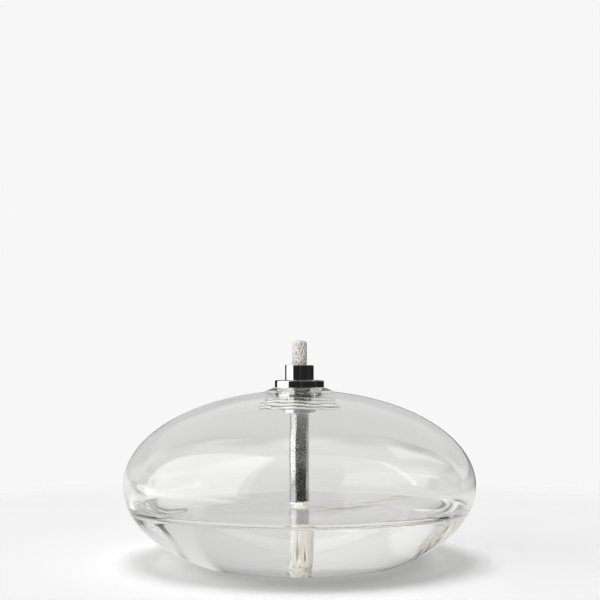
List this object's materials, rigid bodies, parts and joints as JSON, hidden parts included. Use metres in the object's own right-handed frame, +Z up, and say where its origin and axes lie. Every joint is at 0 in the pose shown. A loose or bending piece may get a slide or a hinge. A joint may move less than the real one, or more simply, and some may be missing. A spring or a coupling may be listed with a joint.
{
  "type": "oil lamp",
  "caption": "Table oil lamp: a clear blown-glass ellipsoid reservoir part-filled with oil, with a turned metal burner standing in its neck and a braided wick whose tail trails in the oil.",
  "frame": {"origin": "centre of the face the vessel stands on, on the lamp's axis", "axes": "+Z up along the lamp's axis; +X is the right-hand side seen from the front, and the wick's tail trails off 37 degrees from +X towards +Y"},
  "size_m": [0.17, 0.17, 0.1063],
  "materials": {
    "clear_glass": "clear hand-blown glass, fire polished, faintly green where it is thick",
    "oil": "clear colourless lamp oil, a liquid",
    "polished_metal": "turned and polished stainless steel with faint lathe lines",
    "braid": "braided off-white glass-fibre wick"
  },
  "bodies": {
    "vessel": {"glass_vessel": "clear_glass", "lamp_oil": "oil", "wick_tail": "braid"},
    "burner": {"burner_flange": "polished_metal", "wick_collar": "polished_metal", "neck_sleeve": "polished_metal", "wick_tube": "polished_metal"},
    "wick": {"wick": "braid"}
  },
  "joints": [
    {"name": "burner_lift", "type": "slide", "parent": "vessel", "child": "burner", "axis": [0, 0, 1], "range_m": [0, 0.08], "deforming": ["lamp_oil", "wick_tail"]},
    {"name": "wick_slide", "type": "slide", "parent": "burner", "child": "wick", "axis": [0, 0, 1], "range_m": [-0.005, 0.003], "deforming": ["lamp_oil", "wick_tail"]}
  ]
}
